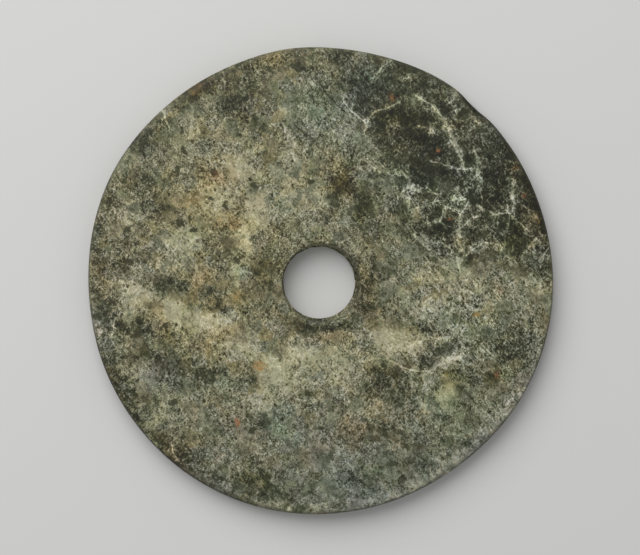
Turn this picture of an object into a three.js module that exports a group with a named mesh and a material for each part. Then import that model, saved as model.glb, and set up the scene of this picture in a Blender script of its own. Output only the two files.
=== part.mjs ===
// Jade bi disc: a flat ring of mottled nephrite, ground nearly round, with one hole drilled from both faces.
// Millimetres, +Z up. The disc lies on its back face, and the origin is under the middle of its outline.
import * as THREE from "three";

// Driving dimensions
const RADIUS = 110; // of the outline, before its swells and flats
const THICKNESS = 12; // beside the hole, where the disc is thickest
const RIM_THINNING = 1.1; // how much lower the front face is at the rim
const BEVEL = 3; // nominal width of the rounded edge on the front face
const BACK_BEVEL = 1.8; // the same on the back face
const SEGMENTS = 144; // facets round the disc
const BEVEL_STEPS = 4; // facets across each rounded edge

// The hole: a wide drilling from the front, a narrower one from the back, and a broken ledge where they meet
const MOUTH_RADIUS = 18.6; // where the front drilling starts
const LEDGE_OUTER = 17.7; // foot of the front drilling
const LEDGE_INNER = 16.7; // the narrowest place in the hole
const LEDGE_HEIGHT = 5.4; // above the back face
const LEDGE_STEP = 0.35; // how much the ledge falls towards the hole's middle
const BACK_MOUTH_RADIUS = 18.2;
const LIP = 0.7; // rounding of the hole's two mouths

// The two drillings are not quite in line, and neither is quite in the middle of the disc
const MOUTH_CENTRE = new THREE.Vector2(0.65, -1.1);
const LEDGE_CENTRE = new THREE.Vector2(-0.55, -0.75);
const BACK_MOUTH_CENTRE = new THREE.Vector2(-0.9, -0.2);
const HOLE_REACH = 40; // radius at which the hole's offset has died away

// Where the outline stands out from the circle (+) or falls inside it (-): direction and spread in degrees
const OUTLINE_SWELLS = [
  { at: 18, spread: 18, size: -0.5 },
  { at: 57, spread: 12, size: 0.9 },
  { at: 97, spread: 10, size: 0.7 },
  { at: 152, spread: 14, size: 0.7 },
  { at: 186, spread: 14, size: -0.6 },
  { at: 245, spread: 22, size: 0.6 },
  { at: 303, spread: 24, size: -1.2 },
];

// Where the rounded edge of the front face is wider than its narrowest
const NARROWEST_BEVEL = 1.3;
const WIDE_BEVELS = [
  { at: 62, spread: 7, size: 1.3 },
  { at: 92, spread: 10, size: 0.9 },
  { at: 128, spread: 18, size: 2.3 },
  { at: 246, spread: 14, size: 2.1 },
  { at: 307, spread: 11, size: 2.0 },
];

// An old flake lost from the front edge: how far it bites inwards, and how much wider it makes the bevel
const FLAKE = { at: 48.5, spread: 3.6, size: -1.7 };
const FLAKE_BEVEL = { at: 48.5, spread: 4.5, size: 2.4 };

const { smoothstep, lerp, radToDeg, euclideanModulo } = THREE.MathUtils;

// The sum of several bell-shaped marks round the rim, in one direction
function marksAt(direction, marks) {
  return marks.reduce((total, { at, spread, size }) => {
    const away = euclideanModulo(direction - at + 180, 360) - 180;
    return total + size * Math.exp(-((away / spread) ** 2));
  }, 0);
}

// Stations on a quarter of an ellipse, from its first end to its last
function quarterRound(centreRadius, centreHeight, width, height, from, to) {
  return Array.from({ length: BEVEL_STEPS + 1 }, (_, step) => {
    const turn = lerp(from, to, step / BEVEL_STEPS) * (Math.PI / 2);
    return new THREE.Vector2(
      centreRadius + width * Math.cos(turn),
      centreHeight + height * Math.sin(turn),
    );
  });
}

// The section through one side of the ring, as stations of radius and height, closed on itself
function ringSection() {
  const ledge = [
    new THREE.Vector2(LEDGE_INNER, LEDGE_HEIGHT - LEDGE_STEP),
    new THREE.Vector2(LEDGE_OUTER, LEDGE_HEIGHT),
  ];
  const frontDrilling = [
    new THREE.Vector2(lerp(LEDGE_OUTER, MOUTH_RADIUS, 0.45), lerp(LEDGE_HEIGHT, THICKNESS, 0.5)),
    new THREE.Vector2(MOUTH_RADIUS, THICKNESS - LIP),
    new THREE.Vector2(MOUTH_RADIUS + 0.3 * LIP, THICKNESS - 0.3 * LIP),
    new THREE.Vector2(MOUTH_RADIUS + LIP, THICKNESS),
  ];
  const frontFace = [26, 36, 48, 60, 72, 84, 94, 102].map((r) => new THREE.Vector2(r, THICKNESS));
  const frontEdge = quarterRound(RADIUS - BEVEL, THICKNESS - BEVEL, BEVEL, BEVEL, 1, 0);
  const backEdge = quarterRound(RADIUS - BACK_BEVEL, BACK_BEVEL, BACK_BEVEL, BACK_BEVEL, 0, -1);
  const backDrilling = [
    new THREE.Vector2(BACK_MOUTH_RADIUS + LIP, 0),
    new THREE.Vector2(BACK_MOUTH_RADIUS + 0.3 * LIP, 0.3 * LIP),
    new THREE.Vector2(BACK_MOUTH_RADIUS, LIP),
  ];
  const stations = [...ledge, ...frontDrilling, ...frontFace, ...frontEdge, ...backEdge, ...backDrilling];
  return [...stations, stations[0].clone()].reverse(); // this way round its faces point outwards
}

// How far the hole's middle is from the disc's middle at one height
function holeCentreAt(height) {
  return height > LEDGE_HEIGHT
    ? LEDGE_CENTRE.clone().lerp(MOUTH_CENTRE, (height - LEDGE_HEIGHT) / (THICKNESS - LEDGE_HEIGHT))
    : LEDGE_CENTRE.clone().lerp(BACK_MOUTH_CENTRE, 1 - height / LEDGE_HEIGHT);
}

// Takes one point of the true ring to its place on the hand-ground disc
function groundByHand(point) {
  const radius = Math.hypot(point.x, point.y);
  const direction = radToDeg(Math.atan2(point.y, point.x));
  const frontShare = point.z / THICKNESS;
  const rimShare = smoothstep(radius, HOLE_REACH, RADIUS);

  const bevel = NARROWEST_BEVEL + marksAt(direction, WIDE_BEVELS) + marksAt(direction, [FLAKE_BEVEL]);
  const inset = RADIUS - radius;
  const bevelled = inset < BEVEL && frontShare > 0.5 ? (inset * bevel) / BEVEL : inset;
  const outline = marksAt(direction, OUTLINE_SWELLS) + marksAt(direction, [FLAKE]) * frontShare;

  const newRadius = RADIUS - bevelled + outline * rimShare;
  const hole = holeCentreAt(point.z).multiplyScalar(1 - smoothstep(radius, MOUTH_RADIUS, HOLE_REACH));
  return point.set(
    (point.x / radius) * newRadius + hole.x,
    (point.y / radius) * newRadius + hole.y,
    point.z - RIM_THINNING * (radius / RADIUS) ** 2 * frontShare,
  );
}

// The whole disc: a turned ring whose points are then moved as hand grinding left them
function discGeometry() {
  const geometry = new THREE.LatheGeometry(ringSection(), SEGMENTS);
  geometry.rotateX(Math.PI / 2);
  const position = geometry.getAttribute("position");
  const point = new THREE.Vector3();
  for (let i = 0; i < position.count; i++) {
    groundByHand(point.fromBufferAttribute(position, i));
    position.setXYZ(i, point.x, point.y, point.z);
  }
  geometry.computeBoundingBox();
  const middle = geometry.boundingBox.getCenter(new THREE.Vector3());
  geometry.translate(-middle.x, -middle.y, -geometry.boundingBox.min.z);
  geometry.computeVertexNormals();
  return geometry;
}

function nephrite() {
  return new THREE.MeshStandardMaterial({ color: 0x6b6a56, roughness: 0.5, metalness: 0 });
}

const disc = new THREE.Mesh(discGeometry(), nephrite());
disc.name = "disc";

const bi = new THREE.Group();
bi.add(disc);

export default bi;
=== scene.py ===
"""Jade bi disc: a flat ring of mottled nephrite, ground nearly round by hand, with one drilled hole.

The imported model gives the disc's size and place. The disc is made again here as a dense mesh of the same
form, with its chips, pits and drill marks, and with the stone's own clouds, veins and spots.
"""
import math

import bpy
import numpy as np
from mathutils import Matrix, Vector, noise


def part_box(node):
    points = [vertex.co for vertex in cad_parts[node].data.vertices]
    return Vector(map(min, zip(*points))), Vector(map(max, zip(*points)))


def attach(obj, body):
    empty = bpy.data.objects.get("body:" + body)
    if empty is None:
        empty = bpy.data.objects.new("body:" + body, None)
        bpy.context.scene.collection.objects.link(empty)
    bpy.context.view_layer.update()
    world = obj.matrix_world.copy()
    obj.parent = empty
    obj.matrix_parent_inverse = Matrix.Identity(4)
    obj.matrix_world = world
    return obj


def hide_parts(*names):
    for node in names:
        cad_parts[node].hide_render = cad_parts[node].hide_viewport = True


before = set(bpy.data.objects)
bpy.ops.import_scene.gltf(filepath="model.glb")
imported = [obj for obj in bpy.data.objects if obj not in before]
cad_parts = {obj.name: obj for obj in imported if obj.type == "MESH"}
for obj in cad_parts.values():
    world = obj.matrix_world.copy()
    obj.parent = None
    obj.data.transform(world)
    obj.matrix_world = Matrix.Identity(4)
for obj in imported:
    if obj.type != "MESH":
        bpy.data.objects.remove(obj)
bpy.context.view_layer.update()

# ---------------------------------------------------------------------------------------------------------
# The disc's form: one slab of nephrite, sawn, then ground round and flat by hand, its front edge unevenly
# bevelled. A section is turned round the upright axis, and its points are then moved as the grinding left
# them. Everything about the stone is worked out in millimetres, and only the finished mesh is in metres.
# ---------------------------------------------------------------------------------------------------------
RADIUS = 110  # of the outline, before its swells and flats
THICKNESS = 12  # beside the hole, where the disc is thickest
RIM_THINNING = 1.1  # how much lower the front face is at the rim
BEVEL = 3  # nominal width of the rounded edge on the front face
BACK_BEVEL = 1.8  # the same on the back face
BEVEL_BLEND = 9  # how far in from the rim the stations are shared out again
DIRECTIONS = 640  # facets round the disc

# Where the outline stands out from the circle (+) or falls inside it (-): direction, spread, size
OUTLINE_SWELLS = [
    (18, 18, -0.5), (57, 12, 0.9), (97, 10, 0.7), (152, 14, 0.7), (186, 14, -0.6), (245, 22, 0.6),
    (303, 24, -1.2),
]
# Where the rounded edge of the front face is wider than its narrowest
NARROWEST_BEVEL = 1.3
WIDE_BEVELS = [(62, 7, 1.3), (92, 10, 0.9), (128, 18, 2.3), (246, 14, 2.1), (307, 11, 2.0)]
# An old flake lost from the front edge: how far it bites inwards, and how much wider it makes the bevel
FLAKE = (48.5, 3.6, -1.7)
FLAKE_BEVEL = (48.5, 4.5, 2.4)

# The hole: a wide drilling from the front, a narrower one from the back, and a broken ledge where they meet
MOUTH_RADIUS = 18.6
LEDGE_OUTER = 17.7
LEDGE_INNER = 16.7
LEDGE_HEIGHT = 5.4
LEDGE_STEP = 0.35  # how much the ledge falls towards the hole's middle
BACK_MOUTH_RADIUS = 18.2
LIP = 0.7  # rounding of the hole's two mouths
LIP_KNEE = 0.3  # where the lip's two flats meet, as a share of its size
WALL_LEAN = 0.45  # how far the front drilling has widened at half its height, as a share
MOUTH_CENTRE = np.array([0.65, -1.1])
LEDGE_CENTRE = np.array([-0.55, -0.75])
BACK_MOUTH_CENTRE = np.array([-0.9, -0.2])
HOLE_REACH = 40  # radius at which the hole's offset has died away


def smoothstep(value, low, high):
    """0 at one value and 1 at the other, with a smooth passage between them"""
    share = np.clip((value - low) / (high - low), 0, 1)
    return share * share * (3 - 2 * share)


def along(start, end, steps):
    """Stations on a straight stretch of the section, without its last one"""
    return np.linspace(start, end, steps, endpoint=False)


def quarter_round(centre_radius, centre_height, size, start, end, steps):
    """Stations on a quarter of a circle, without its last one"""
    turn = np.linspace(start, end, steps, endpoint=False) * math.pi / 2
    return np.column_stack((centre_radius + size * np.cos(turn), centre_height + size * np.sin(turn)))


def ring_section():
    """One side of the ring, cut through: radius and height, from the ledge over the front to the back"""
    ledge_tip = (LEDGE_INNER, LEDGE_HEIGHT - LEDGE_STEP)
    ledge_foot = (LEDGE_OUTER, LEDGE_HEIGHT)
    front_wall = (LEDGE_OUTER + WALL_LEAN * (MOUTH_RADIUS - LEDGE_OUTER), (LEDGE_HEIGHT + THICKNESS) / 2)
    front_mouth = (MOUTH_RADIUS, THICKNESS - LIP)
    front_lip = (MOUTH_RADIUS + LIP_KNEE * LIP, THICKNESS - LIP_KNEE * LIP)
    face_start = (MOUTH_RADIUS + LIP, THICKNESS)
    back_start = (BACK_MOUTH_RADIUS + LIP, 0)
    back_lip = (BACK_MOUTH_RADIUS + LIP_KNEE * LIP, LIP_KNEE * LIP)
    back_mouth = (BACK_MOUTH_RADIUS, LIP)
    return np.concatenate((
        along(ledge_tip, ledge_foot, 3),
        along(ledge_foot, front_wall, 7),
        along(front_wall, front_mouth, 7),
        along(front_mouth, front_lip, 2),
        along(front_lip, face_start, 2),
        along(face_start, (RADIUS - BEVEL, THICKNESS), 71),
        quarter_round(RADIUS - BEVEL, THICKNESS - BEVEL, BEVEL, 1, 0, 11),
        along((RADIUS, THICKNESS - BEVEL), (RADIUS, BACK_BEVEL), 5),
        quarter_round(RADIUS - BACK_BEVEL, BACK_BEVEL, BACK_BEVEL, 0, -1, 6),
        along((RADIUS - BACK_BEVEL, 0), back_start, 28),
        along(back_start, back_lip, 2),
        along(back_lip, back_mouth, 2),
        along(back_mouth, ledge_tip, 9),
    ))


def turned_from(direction, at):
    """How far each direction is turned from another one, in degrees, from -180 to 180"""
    return (direction - at + 180) % 360 - 180


def marks_at(direction, marks):
    """The sum of several bell-shaped marks round the rim, in each direction"""
    total = np.zeros_like(direction)
    for at, spread, size in marks:
        total += size * np.exp(-((turned_from(direction, at) / spread) ** 2))
    return total


def hole_centre_at(height):
    """How far the hole's middle is from the disc's middle at each height"""
    up = np.clip((height - LEDGE_HEIGHT) / (THICKNESS - LEDGE_HEIGHT), 0, 1)[..., None]
    down = np.clip(1 - height / LEDGE_HEIGHT, 0, 1)[..., None]
    return LEDGE_CENTRE + (MOUTH_CENTRE - LEDGE_CENTRE) * up + (BACK_MOUTH_CENTRE - LEDGE_CENTRE) * down


def ground_by_hand(points):
    """Takes the points of the true ring to their places on the hand-ground disc"""
    x, y, z = np.moveaxis(points, -1, 0)
    radius = np.hypot(x, y)
    direction = np.degrees(np.arctan2(y, x))
    front_share = z / THICKNESS
    rim_share = smoothstep(radius, HOLE_REACH, RADIUS)
    bevel = NARROWEST_BEVEL + marks_at(direction, WIDE_BEVELS) + marks_at(direction, [FLAKE_BEVEL])
    inset = RADIUS - radius
    on_bevel = inset * bevel / BEVEL
    inside_bevel = bevel + (inset - BEVEL) * (BEVEL_BLEND - bevel) / (BEVEL_BLEND - BEVEL)
    bevelled = np.where(inset < BEVEL, on_bevel, np.where(inset < BEVEL_BLEND, inside_bevel, inset))
    bevelled = np.where(front_share > 0.5, bevelled, inset)
    outline = marks_at(direction, OUTLINE_SWELLS) + marks_at(direction, [FLAKE]) * front_share
    new_radius = RADIUS - bevelled + outline * rim_share
    hole = hole_centre_at(z) * (1 - smoothstep(radius, MOUTH_RADIUS, HOLE_REACH))[..., None]
    return np.stack((
        x / radius * new_radius + hole[..., 0],
        y / radius * new_radius + hole[..., 1],
        z - RIM_THINNING * (radius / RADIUS) ** 2 * front_share,
    ), axis=-1)


section = ring_section()
turn = np.arange(DIRECTIONS) * 2 * math.pi / DIRECTIONS
true_ring = np.stack((
    section[:, None, 0] * np.cos(turn),
    section[:, None, 0] * np.sin(turn),
    np.repeat(section[:, None, 1], DIRECTIONS, axis=1),
), axis=-1)
form = ground_by_hand(true_ring)

# ---------------------------------------------------------------------------------------------------------
# Wear on the disc: the faces are not quite flat, and their surface is finely pitted. The rim has lost small
# chips, also in the scar of the flake, and the drill left rings in the hole and a broken ledge.
# ---------------------------------------------------------------------------------------------------------
UNEVENNESS = 0.12
PIT_DEPTH = 0.1
BACK_WEAR = 0.5  # the underside's wear, as a share of the front's
RING_DEPTH = 0.16
RING_TURN = 4.2  # how fast the drill's rings follow each other, in radians for each millimetre of height
RING_WANDER = 1.2  # how far the rings stray from even, in radians
HOLE_WEAR_EDGE = (20, 18.9)  # between these radii the faces' wear gives way to the hole's
LEDGE_BREAK = 0.35
BREAK_MIDDLE = LEDGE_HEIGHT - 0.4
BREAK_HEIGHT = 0.5  # how far above and below its middle the break fades away
EDGE_MIDDLE = 0.6  # how far in and down from the rim's corner the middle of the rounded edge lies
CHIP_ACROSS = 0.8  # a chip's reach across the edge, as a share of its half-width along it
# Chips along the front edge: direction, half-width, depth
CHIPS = [
    (311, 2.2, 0.7), (308.5, 1.2, 0.4), (304, 1.8, 0.5), (47.5, 3.2, 0.8), (51, 2.2, 0.6), (43, 1.6, 0.5),
    (27, 1.5, 0.4), (18, 1.2, 0.35), (262, 1.4, 0.35), (215, 1.3, 0.3), (197, 1.8, 0.4), (172, 1.3, 0.3),
    (138, 1.5, 0.3), (112, 1.6, 0.35), (78, 1.3, 0.3), (341, 1.5, 0.35), (325, 1.1, 0.3),
]


def natural_noise(points, size, seed, octaves=3):
    """Fractal noise round 0 at each point, with features of one size in millimetres"""
    offset = Vector((seed * 17.3, seed * 5.1, seed * 9.7))
    flat = points.reshape(-1, 3) / size
    values = [noise.fractal(Vector(point) + offset, 1.0, 2.0, octaves) for point in flat]
    return np.array(values).reshape(points.shape[:-1])


def outward_normals(grid):
    """The way out of the stone at each point of a grid of stations by directions"""
    along_section = np.roll(grid, -1, axis=0) - np.roll(grid, 1, axis=0)
    round_disc = np.roll(grid, -1, axis=1) - np.roll(grid, 1, axis=1)
    normals = np.cross(along_section, round_disc)
    return normals / np.linalg.norm(normals, axis=-1, keepdims=True)


radius = np.hypot(form[..., 0], form[..., 1])
direction = np.degrees(np.arctan2(form[..., 1], form[..., 0]))
height = form[..., 2]
inset = RADIUS - np.hypot(true_ring[..., 0], true_ring[..., 1])
edge_distance = np.hypot(inset - EDGE_MIDDLE, height - (THICKNESS - RIM_THINNING) + EDGE_MIDDLE)
chipped = np.zeros_like(height)
for at, half_width, depth in CHIPS:
    sideways = np.radians(turned_from(direction, at)) * RADIUS
    reach = np.hypot(sideways / half_width, edge_distance / (CHIP_ACROSS * half_width))
    chipped = np.maximum(chipped, depth * np.clip(1 - reach ** 2, 0, 1))
chipped *= 1 + natural_noise(form, size=0.9, seed=3)

in_hole = smoothstep(radius, *HOLE_WEAR_EDGE)
ring_wave = np.sin(height * RING_TURN + RING_WANDER * natural_noise(form, size=6, seed=4))
drill_rings = in_hole * (0.5 + 0.5 * ring_wave)
on_ledge = in_hole * np.exp(-((height - BREAK_MIDDLE) / BREAK_HEIGHT) ** 2)
broken_ledge = on_ledge * np.clip(natural_noise(form, size=2.2, seed=5) + 0.35, 0, 1)

waves = 0.5 + 0.5 * natural_noise(form, size=34, seed=1)
pits = smoothstep(natural_noise(form, size=1.9, seed=2, octaves=2), 0.25, 0.75)
depth = (UNEVENNESS * waves + PIT_DEPTH * pits) * (1 - in_hole) + chipped
depth += RING_DEPTH * drill_rings + LEDGE_BREAK * broken_ledge
underside = smoothstep(height, 1.0, 0.2)
depth *= 1 - (1 - BACK_WEAR) * underside
relief = form - outward_normals(form) * depth[..., None]

# ---------------------------------------------------------------------------------------------------------
# The stone's clouds: nephrite is felted from fine fibres, with pale, dark and rust-tinted clouds through it.
# Each cloud is an oval: middle across and up, half-length, half-width, lean in degrees, and strength.
# They slant through the slab, so the back shows the same clouds shifted.
# ---------------------------------------------------------------------------------------------------------
MIDDLE_TONE = 0.41  # of the stone between its clouds, from black (0) to white (1)
CLOUD_STRENGTH = 1.12
SPOT_STRENGTH = 6
WANDER_SEED = 1  # without it, the clouds and veins would be shifted differently on each run
SLANT = np.array([0.9, -0.6])  # how far a cloud shifts for each millimetre of depth
PALE_CLOUDS_AND_PAINTED_LIGHT = [
    (-37, 52, 12, 6, -40, 0.10), (-31, 29, 11, 5, -95, 0.12), (-9, 39, 10, 5, 0, 0.06),
    (-62, 18, 11, 7, -25, 0.12), (-48, 36, 13, 11, 0, 0.07), (-56, 2, 6, 6, 0, 0.08),
    (-36, 20, 5, 6, 0, 0.14), (-40, 6, 3, 5, 0, 0.11), (30, -61, 9, 3, 0, 0.08), (50, -60, 6, 4, 0, 0.10),
    (48, -47, 4, 8, 0, 0.07), (43, -28, 5, 4, 0, 0.06), (80, 16, 4, 3, 0, 0.09), (74, -9, 3, 6, 0, 0.07),
    (50, 4, 8, 4, 0, 0.07), (-13, 59, 8, 7, 0, 0.05), (1, 42, 3, 7, 0, 0.08), (-33, -76, 6, 5, 0, 0.05),
    # Painted light: the four pale ovals from (28, -102) to (76, -73) lie on the lower right bevel and keep it
    # pale, though it faces away from the lamp
    (28, 97, 6, 4, 0, 0.06), (-76, -65, 7, 6, -40, 0.08), (28, -102, 10, 3, 15, 0.06),
    (47, -94, 10, 3.5, 28, 0.08), (63, -84, 9, 4, 40, 0.10), (76, -73, 8, 3, 48, 0.07),
    (75, -20, 5, 4, 0, 0.07), (57.5, 77, 7, 2.2, -57, 0.12), (63, 66, 6, 2.2, -62, 0.10),
    (66.5, 57, 4, 1.6, -75, 0.08), (65.5, 24, 2.2, 8, 0, 0.08), (74, 52, 2, 8, 0, 0.07),
    (-5, -70, 6, 6, 0, 0.06), (-55, -29, 6, 5, 0, 0.07), (-13.4, -108.4, 1.0, 1.6, 0, 0.4),
    (59.3, -91.2, 1.3, 1.0, 35, 0.35), (71.4, -82, 1.2, 0.9, 45, 0.4), (-89, -8, 7, 7, 0, 0.14),
    (-66, -15.5, 18, 6, -18, 0.13), (-94, 30, 6, 8, 0, 0.09), (-22, -41, 9, 7, -45, 0.13),
    (-28, -57, 11, 7, 0, 0.09), (-6, -34, 16, 5, -8, 0.12), (33, -26, 14, 6, -22, 0.17),
    (12, -43, 8, 9, 0, 0.06), (59, -54, 5, 9, 0, 0.12), (68, -26, 5, 4, 0, 0.04), (52, -14, 9, 6, 0, 0.08),
    (62, 5, 10, 8, 0, 0.06), (104, -3, 5, 4, 0, 0.08), (4, 72, 12, 14, 0, 0.03), (-20, 79, 5, 4, 0, 0.07),
    (-62, 73, 5, 7, 0, 0.08), (-50, 76, 7, 4, 10, 0.06), (-90, 57, 6, 4, 0, 0.08),
    (44, 84.5, 9, 5, -20, 0.09), (-85, -45, 8, 6, -30, 0.06), (-60, -62, 13, 5, -30, 0.03),
    (-2, -107, 5, 4, 0, 0.07), (-62, 45, 16, 20, 0, 0.03), (62, -37, 9, 3, 20, 0.10),
    (-48, -20, 10, 6, -40, 0.09), (78, -5, 36, 10, 0, 0.05), (-37, -30, 8, 6, 0, 0.09),
    (-43, -16, 5, 4, 0, 0.08), (-36, 8, 4, 4, 0, 0.05), (-96, 25, 4, 6, -15, 0.04),
    (27, -30, 5, 4, 0, 0.05), (65, -24, 4, 3, 0, 0.08), (-8, -42, 28, 11, 0, 0.06),
    (-25, 45, 24, 14, -30, 0.05), (92, -58, 4, 14, -32, 0.06),
]
DARK_CLOUDS = [
    (62, 62, 46, 26, -42, 0.14), (78, 28, 30, 18, -10, 0.12), (38, 92, 26, 12, -20, 0.07),
    (88, 72, 8, 12, 40, 0.08), (19, 86, 6, 4, 0, 0.12), (21, 92, 6, 5, 0, 0.12), (14, 94, 4, 3, 0, 0.09),
    (19, 80, 3, 3, 0, 0.12), (33, 88, 4, 3, 60, 0.09), (27, 73, 5, 6, 0, 0.10), (31, 78, 9, 3.5, 10, 0.09),
    (45, 77, 8, 3.5, -10, 0.12), (36, 70, 7, 4, 0, 0.06), (45, 70, 7, 5, -20, 0.10),
    (49, 65, 7, 4, -10, 0.11), (57, 63, 4, 4, 0, 0.10), (52, 60, 6, 3, 0, 0.09), (58, 58, 7, 3, -10, 0.11),
    (48, 54, 6, 4, 0, 0.12), (47, 48, 6, 4, -20, 0.22), (38, 56, 6, 4, 0, 0.10), (57, 52, 7, 3, 0, 0.13),
    (65, 49, 6, 3.5, -30, 0.12), (38, 49, 4, 3, 0, 0.05), (81, 54, 7, 8, 0, 0.17), (84, 42, 6, 9, 0, 0.12),
    (77, 57, 4, 3, 0, 0.06), (94, 52, 5, 8, 20, 0.14), (99, 43, 5, 8, 20, 0.17), (96, 34, 5, 4, 0, 0.12),
    (103, 33, 4, 9, 22, 0.12), (52, 33, 5, 4, 30, 0.13), (56, 35, 3, 3, 0, 0.06),
    (62, 33, 3, 2, -30, 0.05), (60, 27, 3, 2, 0, 0.05), (46, 27, 4, 3, 0, 0.06), (56, 22, 7, 4, 0, 0.23),
    (57, 14.5, 6, 3.5, -10, 0.14), (37, 34, 4, 4, 0, 0.04), (45, 40, 5, 3, 0, 0.06),
    (70, 24, 3, 5, 0, 0.08), (73, 20, 4, 3, 0, 0.06), (83, 24, 7, 5, 0, 0.10), (92, 26, 4, 3, 0, 0.11),
    (91, 20, 7, 3.5, -10, 0.14), (94, 13, 3, 6, 0, 0.12), (69, 10, 4, 3, 0, 0.09),
    (72, 63, 4, 2.5, 0, 0.09), (86, 65, 7, 6, -50, 0.10), (60, 81, 3, 2, -20, 0.12),
    (48, 92, 5, 3, 0, 0.07), (57, 88, 6, 5, 0, 0.05), (66, 79, 4, 3, 0, 0.04), (63, 71, 3, 3, 0, 0.06),
    (100, 6, 8, 6, 0, 0.06), (10, 46, 9, 6, 10, 0.14), (20, 35, 5, 8, 20, 0.14), (25, 43, 4, 3, 0, 0.10),
    (-38, 83, 10, 7, 0, 0.13), (-28, 72, 7, 4, -30, 0.06), (-49, 11, 8, 7, 0, 0.08),
    (-70, -2, 10, 5, 0, 0.10), (-50, -9, 7, 4, -30, 0.09), (-45, -11, 8, 4, -20, 0.06),
    (-20, -34, 6, 4, -20, 0.07), (-89, -22, 8, 5, 0, 0.12), (-75, -36, 13, 9, -30, 0.07),
    (-100, -42, 6, 12, 25, 0.12), (-88, -66, 6, 12, 35, 0.07), (-70, -82, 6, 12, 55, 0.12),
    (-52, -93, 12, 6, -20, 0.06), (-33, -93, 13, 8, 0, 0.08), (30, -48, 11, 10, -30, 0.08),
    (27, -43, 5, 5, 0, 0.04), (37, -57, 6, 6, 0, 0.05), (28, -69, 12, 5, 10, 0.07),
    (53, -33, 4, 3, 0, 0.12), (61, -31, 5, 4, 10, 0.03), (50, -38.5, 3, 2.5, 0, 0.15),
    (91, -33, 8, 6, 0, 0.15), (68, -44.5, 7, 4, -5, 0.10), (83, -44, 5, 4, 0, 0.08),
    (48, -23, 7, 4, -20, 0.10), (67.5, -77, 3.4, 2.4, 0, 0.15), (38, -94, 5, 5, 0, 0.11),
    (20, -93, 7, 4, -30, 0.09), (45, -86, 5, 5, 0, 0.06), (32, -82, 8, 6, -40, 0.05),
    (-5, -54, 3, 3, 0, 0.08), (-105, 4, 4, 22, 0, 0.04), (-28, -68, 6, 3, 20, 0.09),
    (-79, 42, 9, 12, 0, 0.07), (-85, 65, 8, 5, 45, 0.10), (-94, 9, 10, 5, 0, 0.08),
    (-55, -44, 8, 5, 0, 0.07), (22, -6, 7, 14, 0, 0.10), (0, -21, 15, 3, 0, 0.12),
    (-26, 3, 5, 14, 0, 0.06), (-75, -45, 6, 4, 0, 0.04), (101, 17, 5, 12, 0, 0.07),
    (73, 80, 8, 1.8, -42, 0.10), (-30, 100, 20, 6, 18, 0.06), (-59, 86, 9, 5, 40, 0.07),
    (-98, 36, 5, 15, 20, 0.05), (-102, -14, 5, 10, 8, 0.08), (12, -92, 5, 4, 0, 0.06),
    (11, 104, 6, 3, 0, 0.09), (43, 99, 6, 4, -25, 0.09), (32, 66, 5, 4, 0, 0.10), (40, 24, 5, 5, 0, 0.06),
    (106, 26, 3, 10, 10, 0.10), (-37, 36, 3, 4, 0, 0.09), (-36, -46, 5, 4, 0, 0.07),
    (55, -64, 5, 2.5, -30, 0.11), (-33, -101, 7, 4, 0, 0.06), (-97, -45, 5, 9, 25, 0.08),
    (-96, -14, 4, 6, 0, 0.06), (-32, 46, 5, 4, 0, 0.11), (-58, 91, 9, 4, 38, 0.14),
    (-79, -70, 3, 13, 44, 0.07), (102, 27, 3, 9, 15, 0.08), (9, 106, 2.5, 9, 85, 0.07),
    (-8, 99, 4, 8, 95, 0.08), (-86, 50, 4, 14, 150, 0.07), (96, -25, 4, 8, -15, 0.06),
    (-89, -53, 7, 6, -35, 0.09), (44, 37, 3, 4, 0, 0.08), (105, 9, 3, 9, 5, 0.09),
    (67, 74, 4, 11, 48, 0.07), (-42, 91, 4, 7, 115, 0.05), (-99, -9, 4, 7, 5, 0.07),
    (-25, -97, 4, 8, 75, 0.05), (-103, 27, 2.5, 8, -15, 0.05), (-74, 75, 2.5, 8, -45, 0.05),
    (70, 33, 5, 4, 0, 0.04), (6, 38, 3, 5, 0, 0.08), (-45, 76, 4, 3, 0, 0.06), (74, -74, 3, 6, -45, 0.05),
]
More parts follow.
